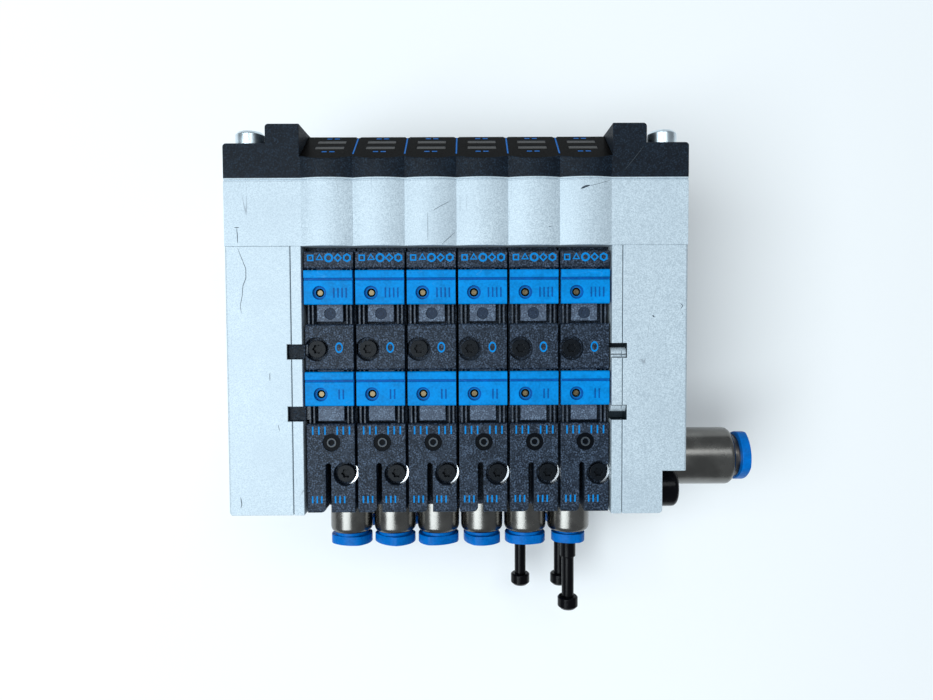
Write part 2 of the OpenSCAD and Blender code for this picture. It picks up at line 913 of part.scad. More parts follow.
function port_bore(thin) = thin ? small_tube_r : tube_r;
function ring_bore(bore) = bore + ring_bore_clearance;
function sleeve_r(bore) = ring_bore(bore) + sleeve_wall;
function is_thin(i, row) = i == slice_count || (i == slice_count - 1 && row == 1);

module fitting_bodies() {
    color(nickel) {
        for (i = [1 : slice_count])
            for (row = [0, 1])
                translate([slice_x(i), -half_height, port_rows[row]])
                    push_in_fitting(fitting_r, fitting_length, port_bore(is_thin(i, row)),
                        port_thread_r - thread_clearance, port_thread_depth - 0.5,
                        port_seat_depth, port_mouth);
        translate([half_width, supply_y, supply_z])
            rotate([0, 0, 90])
                push_in_fitting(supply_r, supply_length, supply_tube_r, supply_thread_r,
                    half_width - supply_thread_end, supply_seat_depth, supply_mouth);
    }
}

module port_release_ring(i, row) {
    thin = is_thin(i, row);
    flange_r = thin ? small_ring_r : ring_r;
    color(ring_blue)
        translate([slice_x(i), -half_height - fitting_length, port_rows[row]])
            release_ring([flange_r, ring_flange], port_bore(thin), ring_gap, ring_sleeve,
                ring_angles[row][(i - 1) % len(ring_angles[row])]);
}

module release_ring_supply() {
    color(ring_blue)
        translate([half_width + supply_length, supply_y, supply_z])
            rotate([0, 0, 90])
                release_ring([supply_ring_r, supply_ring_flange], supply_tube_r,
                    supply_ring_gap, ring_sleeve, supply_ring_angle);
}

// A blanking plug turned about Y, pushed into a fitting whose end is at 0.
module tube_plug() {
    tube_end = 2.6;
    collar_r = 1.8;
    collar_end = 6.5;
    stem_r = 1.4;
    cap_r = 2.35;
    cap = [16, 18.9];
    edge = 0.3;
    seated_r = small_tube_r - 0.05;
    color(black_plastic)
        rotate([90, 0, 0])
            rotate_extrude($fn = 64)
                polygon([
                    [0, -9], [seated_r - edge, -9], [seated_r, -9 + edge],
                    [seated_r, tube_end], [collar_r, tube_end + edge],
                    [collar_r, collar_end], [stem_r, collar_end + edge], [stem_r, cap[0]],
                    [cap_r - edge, cap[0]], [cap_r, cap[0] + edge],
                    [cap_r, cap[1] - 2 * edge], [cap_r - 2 * edge, cap[1]], [0, cap[1]]
                ]);
}

// The plug of the pilot air port, screwed into the notch of the right end plate along X.
module port_plug() {
    length = 4.9;
    edge = 1.1;
    gap = 0.1;
    rim = [for (a = [0 : 22.5 : 90]) [plug_r - edge * (1 - cos(a)), length - edge * (1 - sin(a))]];
    color(black_plastic)
        translate([notch_x, plug_y, plug_z])
            rotate([0, 90, 0])
                rotate_extrude($fn = 64)
                    polygon(concat(
                        [[0, -4], [plug_thread_r, -4], [plug_thread_r, gap], [plug_r, gap]],
                        rim,
                        [[1.5, length], [1.5, length - 2], [0, length - 2]]
                    ));
}

module blanking_plugs() {
    for (i = [1 : slice_count])
        for (row = [0, 1])
            if (is_thin(i, row))
                translate([slice_x(i), -half_height - fitting_length, port_rows[row]])
                    tube_plug();
    port_plug();
}

left_end_plate();
right_end_plate();
side_plates();
valve_bodies();
pilot_covers();
slice_seals();
tie_screws();
cover_screws();
solenoid_coils();
terminal_housing();
terminal_cover();
terminal_screws();
circuit_board();
light_guides();
multipin_connector();
fitting_bodies();
blanking_plugs();
release_ring_supply();
for (i = [1 : slice_count]) {
    override_slide(i, slide_14_top);
    override_slide(i, slide_12_top);
    pilot_plunger(i, slide_14_top);
    pilot_plunger(i, slide_12_top);
    valve_spool(i);
    for (row = [0, 1])
        port_release_ring(i, row);
}
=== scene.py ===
"""Looks of the pneumatic valve terminal: softened parts, printed marks, materials, light and camera."""
import json
import math

import bmesh
import bpy
from mathutils import Matrix, Vector
from mathutils.bvhtree import BVHTree


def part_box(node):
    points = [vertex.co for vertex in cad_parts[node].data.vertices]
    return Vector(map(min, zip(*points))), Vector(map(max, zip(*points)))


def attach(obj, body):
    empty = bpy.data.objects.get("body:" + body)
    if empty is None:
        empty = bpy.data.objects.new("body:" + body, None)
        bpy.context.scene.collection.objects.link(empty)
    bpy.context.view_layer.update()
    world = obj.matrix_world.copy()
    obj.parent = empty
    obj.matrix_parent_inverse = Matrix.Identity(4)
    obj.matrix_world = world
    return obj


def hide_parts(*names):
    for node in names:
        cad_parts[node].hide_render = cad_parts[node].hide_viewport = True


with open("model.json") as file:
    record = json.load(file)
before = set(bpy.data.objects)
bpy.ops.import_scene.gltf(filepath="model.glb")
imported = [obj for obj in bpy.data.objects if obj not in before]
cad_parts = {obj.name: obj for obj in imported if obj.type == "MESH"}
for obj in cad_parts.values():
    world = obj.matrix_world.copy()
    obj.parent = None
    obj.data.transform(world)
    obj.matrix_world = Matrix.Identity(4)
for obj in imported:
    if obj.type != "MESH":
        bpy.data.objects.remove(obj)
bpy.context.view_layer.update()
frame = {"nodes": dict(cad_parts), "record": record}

MM = 0.001
SLICES = range(1, 7)
SLIDE_KINDS = ("14", "12")
PORT_ROWS = ("front", "rear")


# ---- Places from the frame, in metres, and depths below its front, in millimetres ----

body_of_node = {n: b for b, nodes in frame["record"]["behaviour"]["bodies"].items() for n in nodes}
slot_of_node = {s["node"]: s["material_slot"] for s in frame["record"]["subparts"]}

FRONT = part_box("left_end_plate")[1].z
STACK_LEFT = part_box("valve_bodies")[0].x
PLATES_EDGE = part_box("side_plates")[1].x
SUPPLY_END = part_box("release_ring_supply")[1].x
SLIDES = {kind: [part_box(f"override_slide_{kind}_{i}") for i in SLICES] for kind in SLIDE_KINDS}
MIDDLES = [(low.x + high.x) / 2 for low, high in SLIDES["12"]]
TOP_14 = SLIDES["14"][0][1].y
TOP_12 = SLIDES["12"][0][1].y

# The slices' surfaces: the covers' blocks, the rails and panels that the slides run on, a slide's
# long groove, and the floor of the round recess over its pin.
BLOCK_DROP = 0.8
RAIL_DROP = 1.65
PANEL_DROP = 1.8
GROOVE_DROP = 0.4
RECESS_DROP = 0.72
BLOCK = FRONT - BLOCK_DROP * MM
PANEL = FRONT - PANEL_DROP * MM


# ---- Materials ----

class Shader:
    """A material's node tree, with short calls for its nodes and links."""

    def __init__(self, name):
        self.material = bpy.data.materials.new(name)
        self.material.use_nodes = True
        self.tree = self.material.node_tree
        self.bsdf = self.tree.nodes["Principled BSDF"]
        self.position = self.add("ShaderNodeTexCoord").outputs["Object"]

    def add(self, kind, **inputs):
        node = self.tree.nodes.new(kind)
        for key, value in inputs.items():
            self.put(node, key, value)
        return node

    def put(self, node, key, value):
        socket = node.inputs[key]
        if isinstance(value, bpy.types.NodeSocket):
            self.tree.links.new(value, socket)
        else:
            socket.default_value = value

    def surface(self, **inputs):
        for key, value in inputs.items():
            self.put(self.bsdf, key.replace("_", " "), value)

    def noise(self, size_mm, detail, stretch=(1, 1, 1)):
        """Soft random patches of about a size; a low stretch draws them out along its axis."""
        mapping = self.add("ShaderNodeMapping", Vector=self.position)
        mapping.inputs["Scale"].default_value = stretch
        node = self.add("ShaderNodeTexNoise", Vector=mapping.outputs[0])
        node.inputs["Scale"].default_value = 1 / (size_mm * MM)
        node.inputs["Detail"].default_value = detail
        return node.outputs["Fac"]

    def dots(self, spacing_mm, low, high):
        """Separate round specks, one to each random cell: 1 in the middle, 0 from the high distance."""
        node = self.add("ShaderNodeTexVoronoi", Vector=self.position)
        node.inputs["Scale"].default_value = 1 / (spacing_mm * MM)
        return self.band(node.outputs["Distance"], low, high, 1, 0)

    def ramp(self, factor, stops):
        """A colour for each factor, from stops of (place, colour)."""
        node = self.add("ShaderNodeValToRGB", Fac=factor)
        ramp = node.color_ramp
        while len(ramp.elements) < len(stops):
            ramp.elements.new(0.5)
        for element, (place, colour) in zip(ramp.elements, stops):
            element.position = place
            element.color = (*colour, 1)
        return node.outputs["Color"]

    def band(self, factor, low, high, to_low=0.0, to_high=1.0):
        """A factor's range from low to high, spread over another range and held beyond it."""
        node = self.add("ShaderNodeMapRange", Value=factor)
        node.inputs["From Min"].default_value = low
        node.inputs["From Max"].default_value = high
        node.inputs["To Min"].default_value = to_low
        node.inputs["To Max"].default_value = to_high
        return node.outputs["Result"]

    def mix(self, factor, first, second):
        """Two colours mixed; on a colour mix node, the sockets that take colours have these numbers."""
        factor_socket, first_socket, second_socket, colour_output = 0, 6, 7, 2
        node = self.add("ShaderNodeMix")
        node.data_type = "RGBA"
        self.put(node, factor_socket, factor)
        for socket, value in ((first_socket, first), (second_socket, second)):
            self.put(node, socket, (*value, 1) if isinstance(value, tuple) else value)
        return node.outputs[colour_output]

    def math(self, operation, first, second):
        node = self.add("ShaderNodeMath")
        node.operation = operation
        self.put(node, 0, first)
        self.put(node, 1, second)
        return node.outputs[0]

    def bump(self, height, depth_mm, strength):
        node = self.add("ShaderNodeBump", Height=height)
        node.inputs["Distance"].default_value = depth_mm * MM
        node.inputs["Strength"].default_value = strength
        return node.outputs["Normal"]

    def scratches(self, size_mm, stretch, narrow):
        """Thin broken lines where a noise passes its middle, longest along the lowest stretch."""
        middle = 0.5
        field = self.noise(size_mm, 1, stretch)
        rising = self.band(field, middle - narrow, middle)
        falling = self.band(field, middle, middle + narrow, 1, 0)
        broken = self.band(self.noise(6, 2), 0.56, 0.62)
        return self.math("MULTIPLY", self.math("MULTIPLY", rising, falling), broken)


def blasted_metal():
    """Blasted and anodised aluminium: a pale grain, soft blotches, and a few worn lines."""
    s = Shader("blasted_metal")
    fine = s.math("MULTIPLY", s.noise(0.24, 1), 0.8)
    coarse = s.math("MULTIPLY", s.noise(0.6, 2), 0.2)
    grain = s.math("ADD", fine, coarse)
    blotch = s.noise(9, 3)
    wear = s.band(s.noise(2.6, 5), 0.66, 0.74)
    scratch = s.scratches(7, (1, 0.12, 1), 0.0035)
    shades = [(0.36, (0.38, 0.455, 0.51)), (0.5, (0.475, 0.56, 0.62)), (0.64, (0.58, 0.67, 0.73))]
    colour = s.ramp(grain, shades)
    colour = s.mix(s.band(blotch, 0.3, 0.7, 0, 0.3), colour, (0.38, 0.45, 0.51))
    colour = s.mix(s.math("MULTIPLY", wear, 0.18), colour, (0.28, 0.33, 0.38))
    colour = s.mix(s.math("MULTIPLY", scratch, 0.6), colour, (0.10, 0.12, 0.15))
    s.surface(Base_Color=colour, Metallic=0.15, Roughness=s.band(grain, 0.4, 0.6, 0.46, 0.58),
              Normal=s.bump(grain, 0.04, 0.3))
    return s.material


def moulded_black(name, base, glint, rough, specular):
    """Eroded black plastic, with pale glints on its grain and a little dust."""
    s = Shader(name)
    grain_mm = 0.26
    grain = s.noise(grain_mm, 2)
    clusters = s.band(s.noise(grain_mm * 4, 2), 0.35, 0.65, 0.25, 1)
    sparkle = s.math("MULTIPLY", s.dots(grain_mm * 1.3, 0.12, 0.62), clusters)
    dust = s.band(s.noise(3.5, 4), 0.5, 0.75, 0, 0.3)
    colour = s.mix(sparkle, base, glint)
    between = tuple((a + b) / 2 for a, b in zip(base, glint))
    colour = s.mix(dust, colour, between)
    s.surface(Base_Color=colour, Roughness=s.band(grain, 0.35, 0.65, rough - 0.1, rough + 0.12),
              Normal=s.bump(grain, 0.06, 0.6), Specular_IOR_Level=specular)
    return s.material


def moulded_blue(name, base, rough, specular):
    """Satin blue plastic with faint clouds and scuffs."""
    s = Shader(name)
    grain = s.noise(0.45, 2)
    cloud = s.noise(2.4, 3)
    scuff = s.scratches(2.2, (0.25, 1, 1), 0.006)
    deep = tuple(c * 0.8 for c in base)
    pale = tuple(min(1, c * 1.15) for c in base)
    mottle = s.math("MULTIPLY", s.math("ADD", cloud, grain), 0.5)
    colour = s.ramp(mottle, [(0.36, deep), (0.5, base), (0.64, pale)])
    colour = s.mix(s.math("MULTIPLY", scuff, 0.3), colour, (0.10, 0.42, 0.80))
    s.surface(Base_Color=colour, Roughness=s.band(cloud, 0.3, 0.7, rough - 0.06, rough + 0.1),
              Normal=s.bump(grain, 0.03, 0.4), Specular_IOR_Level=specular)
    return s.material


def plated(name, base, rough, turned=(1, 1, 1), patch_mm=2.8):
    """Bright plated metal with fine turning marks and a few dull patches."""
    s = Shader(name)
    lines = s.noise(0.12, 2, turned)
    patch = s.noise(patch_mm, 3)
    dull = tuple(c * 0.75 for c in base)
    colour = s.ramp(patch, [(0.35, dull), (0.62, base)])
    s.surface(Base_Color=colour, Metallic=1.0, Roughness=s.band(patch, 0.3, 0.75, rough, rough + 0.12),
              Normal=s.bump(lines, 0.01, 0.25))
    return s.material


def plain(name, base, rough, metallic=0.0, specular=0.5):
    """A simple finish with a little grain and colour variation."""
    s = Shader(name)
    grain = s.noise(0.3, 3)
    deep = tuple(c * 0.8 for c in base)
    pale = tuple(min(1, c * 1.1) for c in base)
    s.surface(Base_Color=s.ramp(grain, [(0.3, deep), (0.7, pale)]), Metallic=metallic,
              Roughness=s.band(grain, 0.3, 0.7, rough - 0.05, rough + 0.08),
              Normal=s.bump(grain, 0.02, 0.4), Specular_IOR_Level=specular)
    return s.material


FINISHES = {
    "metal": blasted_metal(),
    "black": moulded_black("slice_black", (0.007, 0.012, 0.021), (0.09, 0.13, 0.20), 0.42, 0.12),
    "panel": moulded_black("panel_black", (0.045, 0.062, 0.095), (0.19, 0.26, 0.36), 0.45, 0.2),
    # Painted highlight: a lighter black on the rails' fronts, for the light along their edges.
    "rail": moulded_black("rail_black_painted_highlight", (0.030, 0.038, 0.050), (0.10, 0.125, 0.16), 0.4, 0.3),
    "cover": moulded_black("cover_black", (0.003, 0.006, 0.011), (0.016, 0.030, 0.050), 0.5, 0.12),
    "legend": plain("legend_black", (0.0018, 0.0015, 0.0015), 0.4, specular=0.012),
    "body": moulded_black("body_black", (0.003, 0.004, 0.007), (0.045, 0.06, 0.085), 0.5, 0.25),
    "blue": moulded_blue("slide_blue", (0.0003, 0.22, 0.60), 0.42, 0.05),
    # Painted shade: a darker blue for the slides' groove and recess floors and their tally strokes.
    "blue_painted_shade": moulded_blue("slide_blue_painted_shade", (0.0003, 0.085, 0.32), 0.42, 0.07),
    "ring": moulded_blue("ring_blue", (0.0003, 0.13, 0.47), 0.3, 0.07),
    "nickel": plated("nickel", (0.205, 0.198, 0.186), 0.2, (0.2, 8, 0.2), patch_mm=4),
    "zinc": plated("zinc", (0.72, 0.82, 0.88), 0.25),
    "neck": plated("neck_metal", (0.16, 0.14, 0.12), 0.25, (6, 0.2, 0.2)),
    # Painted highlight: bright plated metal for the crescents beside the lower cover screws.
    "glint": plated("glint_painted_zinc", (0.80, 0.83, 0.86), 0.3),
    "brass": plated("pin_brass", (0.15, 0.115, 0.065), 0.3, patch_mm=0.5),
    "spool": plated("spool_metal", (0.75, 0.76, 0.78), 0.2, (0.2, 0.2, 6)),
    "black_steel": plain("black_steel", (0.004, 0.006, 0.009), 0.3, specular=0.09),
    "plug": plain("plug_black", (0.002, 0.002, 0.003), 0.18, specular=0.12),
    "window": plain("window_grey", (0.042, 0.041, 0.040), 0.3, specular=0.08),
    "rubber": plain("seal_rubber", (0.008, 0.008, 0.009), 0.7, specular=0.2),
    "copper": plain("coil_copper", (0.40, 0.15, 0.06), 0.4, 0.5),
    "board": plain("board_green", (0.01, 0.12, 0.05), 0.4),
    "tin": plain("tinned_shell", (0.62, 0.61, 0.58), 0.28, 1.0),
    "insulator": plain("insulator_black", (0.012, 0.012, 0.013), 0.45, specular=0.4),
    "gold": plain("contact_gold", (0.75, 0.52, 0.18), 0.25, 1.0),
    "ink": plain("printed_blue", (0.001, 0.22, 0.60), 0.5, specular=0.06),
    "legend_ink": plain("legend_blue", (0.001, 0.14, 0.50), 0.5, specular=0.08),
    "mark": plain("mark_black", (0.003, 0.004, 0.006), 0.3, specular=0.03),
    "panel_mark": plain("panel_mark_black", (0.025, 0.038, 0.065), 0.35, specular=0.06),
    # Painted shade for the floors and walls of the plates' pockets.
    "recess": plain("pocket_painted_shade", (0.018, 0.028, 0.036), 0.5, specular=0.1),
    "rim": plain("rim_grey", (0.045, 0.055, 0.062), 0.4, specular=0.3),
    "scuff": plain("scuff_dark", (0.035, 0.05, 0.07), 0.6, specular=0.2),
    "pale_scuff": plain("scuff_pale", (0.05, 0.065, 0.08), 0.6, specular=0.2),
}


# ---- Softened copies of the frame's parts ----

# The legend slope of the cover, in millimetres, and its lean and direction
SLOPE_RISE = 5.8
SLOPE_DEPTH = 8.7
SLOPE_LEAN = math.atan2(SLOPE_RISE, SLOPE_DEPTH)
SLOPE_NORMAL = Vector((0, math.cos(SLOPE_LEAN), math.sin(SLOPE_LEAN)))
# The supply ring's flange, with a little room
SUPPLY_FLANGE = 2.1
# The plates' pockets: the places of their middles along Y, and inside the side plates' outer edge,
# how far they reach from there, and the depths that they take in below the front
POCKET_CENTRES = (5.85, -6.3)
POCKET_INSET = 0.525
POCKET_MIDDLE = PLATES_EDGE / MM - POCKET_INSET
POCKET_REACH = 1.5
POCKET_DROPS = (0.3, 4.1)


def link(name, mesh):
    piece = bpy.data.objects.new(name, mesh)
    bpy.context.scene.collection.objects.link(piece)
    return piece


def level(drop_mm):
    """A test for faces that look forwards from a depth below the front plane."""
    height = FRONT - drop_mm * MM
    slack = 0.03 * MM
    return lambda face: face.normal.z > 0.9 and abs(face.calc_center_median().z - height) < slack


def on_the_slope(face):
    """The cover's legend slope over the slices."""
    return face.normal.angle(SLOPE_NORMAL) < math.radians(1)


def behind_the_flange(face):
    """The supply ring's neck, between its flange and the fitting."""
    return face.calc_center_median().x < SUPPLY_END - SUPPLY_FLANGE * MM


def on_a_tab(face):
    """The two tabs of the first cover that stand in the left plates' pockets, darkened with the cover
    black as painted shade.
    """
    return face.calc_center_median().x < STACK_LEFT - 0.05 * MM


def within_a_pocket(place):
    """Whether a place lies in one of the four pockets in the plates' front."""
    x, y, z = (c / MM for c in place)
    low, high = POCKET_DROPS
    across = abs(abs(x) - POCKET_MIDDLE) < POCKET_REACH
    along = min(abs(y - centre) for centre in POCKET_CENTRES) < POCKET_REACH
    return across and along and low < FRONT / MM - z < high


def in_a_pocket(face):
    """The floor and walls of the plates' pockets, without the bars that cross them; these faces take
    painted shade.
    """
    square = max(abs(c) for c in face.normal) > 0.999
    return square and within_a_pocket(face.calc_center_median())


def outside_the_pockets(edge):
    """False on the edges down in the pockets, where the plates meet."""
    return not within_a_pocket((edge.verts[0].co + edge.verts[1].co) / 2)


ZONES = {
    # Painted shade: the floors and walls of the plates' pockets take a dark finish.
    "left_end_plate": (("recess", in_a_pocket),),
    "right_end_plate": (("recess", in_a_pocket),),
    "side_plates": (("recess", in_a_pocket),),
    # Painted light on the covers: the rails' fronts take a lighter black as painted highlight, and the
    # tabs the darker cover black as painted shade.
    "pilot_covers": (("panel", level(PANEL_DROP)), ("rail", level(RAIL_DROP)), ("cover", on_a_tab)),
    # Painted shade: the slides' groove floors and pin-recess floors take the darker blue.
    "override_slide": (("blue_painted_shade", level(GROOVE_DROP)), ("blue_painted_shade", level(RECESS_DROP))),
    "terminal_cover": (("legend", on_the_slope),),
    "release_ring_supply": (("neck", behind_the_flange),),
}


def any_edge(edge):
    return True


def outside_the_windows(edge):
    """False on the edges of the light windows, which cut the legend slope squarely."""
    square = abs(edge.calc_face_angle() - math.pi / 2) < math.radians(1)
    return not (square and any(on_the_slope(face) for face in edge.link_faces))


# Angles in degrees. Edges over the first are rounded; shading stays sharp over the second, or over
# a lower one on the scalloped parts, whose scallops meet in shallow creases.
ROUNDED_OVER = 30
CREASE = 40
SCALLOP_CREASES = {"terminal_housing": 14, "terminal_cover": 14}


def softened(node, finish, slot, width_mm, wanted=any_edge):
    """A copy of a CAD part with its sharp outer edges rounded, shown in place of it."""
    mesh = frame["nodes"][node].data.copy()
    mesh.materials.clear()
    mesh.materials.append(FINISHES[finish])
    bm = bmesh.new()
    bm.from_mesh(mesh)
    bmesh.ops.remove_doubles(bm, verts=bm.verts, dist=1e-6)
    bmesh.ops.dissolve_limit(bm, angle_limit=math.radians(0.5), verts=bm.verts, edges=bm.edges)
    zones = next((z for start, z in ZONES.items() if node.startswith(start)), ())
    for index, (zone_finish, inside) in enumerate(zones, 1):
        mesh.materials.append(FINISHES[zone_finish])
        for face in bm.faces:
            if inside(face):
                face.material_index = index
    sharp = [e for e in bm.edges
             if len(e.link_faces) == 2 and e.is_convex
             and e.calc_face_angle(0) > math.radians(ROUNDED_OVER) and wanted(e)]
    crease = math.radians(SCALLOP_CREASES.get(node, CREASE))
    for edge in bm.edges:
        edge.smooth = edge.calc_face_angle(0) < crease
    bmesh.ops.bevel(bm, geom=sharp, offset=width_mm * MM, offset_type="OFFSET", segments=2,
                    profile=0.6, affect="EDGES", clamp_overlap=False, loop_slide=True)
    for edge in bm.edges:
        edge.smooth = edge.smooth and edge.calc_face_angle(0) < math.radians(CREASE)
    for face in bm.faces:
        face.smooth = True
    bm.to_mesh(mesh)
    bm.free()
    piece = link(node + "_finish", mesh)
    flatten = piece.modifiers.new("flat_faces", "WEIGHTED_NORMAL")
    flatten.keep_sharp = True
    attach(piece, body_of_node[node])
    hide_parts(node)


# The finish of each softened part, the width of its rounding in millimetres, and which edges take it
SOFTENED = {
    "left_end_plate": ("metal", 0.15, outside_the_pockets),
    "right_end_plate": ("metal", 0.15, outside_the_pockets),
    "side_plates": ("metal", 0.1, outside_the_pockets),
    "terminal_housing": ("metal", 0.14),
    "terminal_cover": ("cover", 0.12, outside_the_windows),
    "pilot_covers": ("black", 0.1),
    "valve_bodies": ("body", 0.12),
    "terminal_screws": ("zinc", 0.08),
    "cover_screws": ("black_steel", 0.06),
    "fitting_bodies": ("nickel", 0.08),
    "blanking_plugs": ("plug", 0.08),
    "multipin_connector": ("tin", 0.1),
}
for kind in SLIDE_KINDS:
    for i in SLICES:
        SOFTENED[f"override_slide_{kind}_{i}"] = ("blue", 0.09)
for row in PORT_ROWS:
    for i in SLICES:
        SOFTENED[f"release_ring_{row}_{i}"] = ("ring", 0.12)
SOFTENED["release_ring_supply"] = ("ring", 0.2)

for node, (finish, width, *wanted) in SOFTENED.items():
    softened(node, finish, slot_of_node[node], width, *wanted)

# Parts that show as the frame made them
KEPT = {
    "slice_seals": "rubber",
    "tie_screws": "zinc",
    "solenoid_coils": "copper",
    "circuit_board": "board",
    "light_guides": "window",
}
for kind in SLIDE_KINDS:
    for i in SLICES:
        KEPT[f"pilot_plunger_{kind}_{i}"] = "brass"
for i in SLICES:
    KEPT[f"valve_spool_{i}"] = "spool"
for node, finish in KEPT.items():
    mesh = frame["nodes"][node].data
    mesh.materials.clear()
    mesh.materials.append(FINISHES[finish])


# ---- Printed marks and small details ----

# Distances in millimetres: up from a slide's top, or down from it
SHAPES_UP = 2.4
RING_UP = 4.7
PIN_DOWN = 4.4
DISC_DOWN = 8.45
UPPER_BARS_DOWN = 11.6
ROUND_MARK_DOWN = 14
GLINT_DOWN = 20.25
LOWER_BARS_DOWN = 25.3
# The bottom and the top of printing, from the surface that it lies on
PRINT = (-0.01, 0.012)


class Solid:
    """Collects prisms, rings and rods in millimetres about an origin, as one mesh."""

    def __init__(self, turn=None):
        self.bm = bmesh.new()
        self.turn = turn or Matrix()

    def prism(self, outline, low_mm, high_mm, origin):
        """An outline in X and Y, anticlockwise, between two heights."""
        place = self.turn @ Matrix.Translation(Vector(origin))
        rings = [[self.bm.verts.new(place @ Vector((x * MM, y * MM, z * MM))) for x, y in outline]
                 for z in (low_mm, high_mm)]
        count = len(outline)
        self.bm.faces.new(rings[1])
        self.bm.faces.new(rings[0][::-1])
        for a in range(count):
            b = (a + 1) % count
            self.bm.faces.new((rings[0][a], rings[0][b], rings[1][b], rings[1][a]))

    def bar(self, x, y, width, height, low_mm, high_mm, origin):
        """A rectangle about a middle, between two heights."""
        w, h = width / 2, height / 2
        corners = [(x - w, y - h), (x + w, y - h), (x + w, y + h), (x - w, y + h)]
        self.prism(corners, low_mm, high_mm, origin)

    def rim(self, outer, inner, low_mm, high_mm, origin):
        """The strip between two outlines with the same number of points."""
        for n in range(len(outer)):
            m = (n + 1) % len(outer)
            self.prism([outer[n], outer[m], inner[m], inner[n]], low_mm, high_mm, origin)

    def turned(self, profile, origin, steps=48, stretch=1.0):
        """A closed profile of (radius, height) turned about Z, and stretched along Y."""
        place = self.turn @ Matrix.Translation(Vector(origin))
        rows = []
        for n in range(steps):
            a = 2 * math.pi * n / steps
            points = [(r * MM * math.cos(a), r * stretch * MM * math.sin(a), z * MM) for r, z in profile]
            rows.append([self.bm.verts.new(place @ Vector(point)) for point in points])
        count = len(profile)
        for n in range(steps):
            near, far = rows[n], rows[(n + 1) % steps]
            for a in range(count):
                b = (a + 1) % count
                self.bm.faces.new((near[a], far[a], far[b], near[b]))

    def piece(self, name, finish, body, slot, smooth=False):
        """The collected mesh as a new piece that rides on a body."""
        mesh = bpy.data.meshes.new(name)
        bmesh.ops.recalc_face_normals(self.bm, faces=self.bm.faces)
        for face in self.bm.faces:
            face.smooth = smooth
        self.bm.to_mesh(mesh)
        self.bm.free()
        if smooth:
            mesh.set_sharp_from_angle(angle=math.radians(CREASE))
        mesh.materials.append(FINISHES[finish])
        piece = link(name, mesh)
        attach(piece, body)


class SurfaceMarks:
    """Thin strokes, tapered at both ends, that follow the front of some CAD parts."""

    STEP = 0.35
    LIFT = 0.012
    ABOVE = 10

    def __init__(self, *nodes):
        self.solid = Solid()
        self.trees = []
        for node in nodes:
            bm = bmesh.new()
            bm.from_mesh(frame["nodes"][node].data)
            self.trees.append(BVHTree.FromBMesh(bm))
            bm.free()

    def height(self, x, y):
        """The height of the front surface at a place, all in millimetres."""
        start = Vector((x * MM, y * MM, FRONT + self.ABOVE * MM))
        hits = [tree.ray_cast(start, Vector((0, 0, -1)))[0] for tree in self.trees]
        return max(hit.z for hit in hits if hit) / MM + self.LIFT

    def stroke(self, path, width):
        """Lays one stroke along a path of places, in millimetres."""
        points = []
        for (x0, y0), (x1, y1) in zip(path, path[1:]):
            count = max(1, round(math.hypot(x1 - x0, y1 - y0) / self.STEP))
            points += [(x0 + (x1 - x0) * n / count, y0 + (y1 - y0) * n / count) for n in range(count)]
        points.append(path[-1])
        last = len(points) - 1
        pairs = []
        for n, (x, y) in enumerate(points):
            before, after = points[max(0, n - 1)], points[min(last, n + 1)]
            along = Vector((after[0] - before[0], after[1] - before[1])).normalized()
            half = width / 2 * (0.25 + 0.75 * math.sin(math.pi * n / last) ** 0.5)
            sides = [(x - along.y * half, y + along.x * half), (x + along.y * half, y - along.x * half)]
            pairs.append([Vector((a, b, self.height(a, b))) * MM for a, b in sides])
        self.ribbon(pairs)

    def ribbon(self, pairs):
        """A closed strip through pairs of points, as thick as twice its lift."""
        drop = Vector((0, 0, 2 * self.LIFT * MM))
        rings = [[self.solid.bm.verts.new(p) for p in (a, b, b - drop, a - drop)] for a, b in pairs]
        for near, far in zip(rings, rings[1:]):
            for k in range(4):
                self.solid.bm.faces.new((near[k], near[(k + 1) % 4], far[(k + 1) % 4], far[k]))
        self.solid.bm.faces.new(rings[0])
        self.solid.bm.faces.new(rings[-1][::-1])

    def piece(self, name, finish, slot):
        self.solid.piece(name, finish, "root", slot)


def annulus(outer, inner, low_mm, high_mm):
    """The profile of a flat ring, to be turned."""
    return [(inner, low_mm), (outer, low_mm), (outer, high_mm), (inner, high_mm)]


def regular(sides, radius, turn):
    """A regular outline's points, in millimetres."""
    angles = [math.radians(turn + 360 * n / sides) for n in range(sides)]
    return [(radius * math.cos(a), radius * math.sin(a)) for a in angles]


def printed_marks():
    """Plain outline shapes, rings and bars where a slice's front carries printing."""
    square, triangle, circle, diamond, hexagon = (4, 45), (3, 90), (24, 0), (4, 0), (6, 30)
    first_shape = -3.5
    shape_step = 1.78
    shape_radii = (0.88, 0.5)
    ring_right = 1.87
    bar_width = 0.3
    ink = Solid()
    for x in MIDDLES:
        for n, (sides, turn) in enumerate((square, triangle, circle, diamond, hexagon)):
            outer, inner = (regular(sides, radius, turn) for radius in shape_radii)
            shape_x = x + (first_shape + shape_step * n) * MM
            ink.rim(outer, inner, *PRINT, (shape_x, TOP_14 + SHAPES_UP * MM, BLOCK))
        ring_place = (x + ring_right * MM, TOP_12 + RING_UP * MM, BLOCK)
        ink.turned(annulus(0.75, 0.5, *PRINT), ring_place, stretch=1.4)
        for right in (-3.5, -2.3, -1.1, 1.3, 2.5, 3.7):
            ink.bar(right, 0, bar_width, 1.6, *PRINT, (x, TOP_12 - UPPER_BARS_DOWN * MM, BLOCK))
        for right in (-3.7, -2.8, -1.9, 0.8, 1.7, 2.6):
            ink.bar(right, 0, bar_width, 1.4, *PRINT, (x, TOP_12 - LOWER_BARS_DOWN * MM, BLOCK))
    ink.piece("printed_marks", "ink", "root", "blue_plastic")


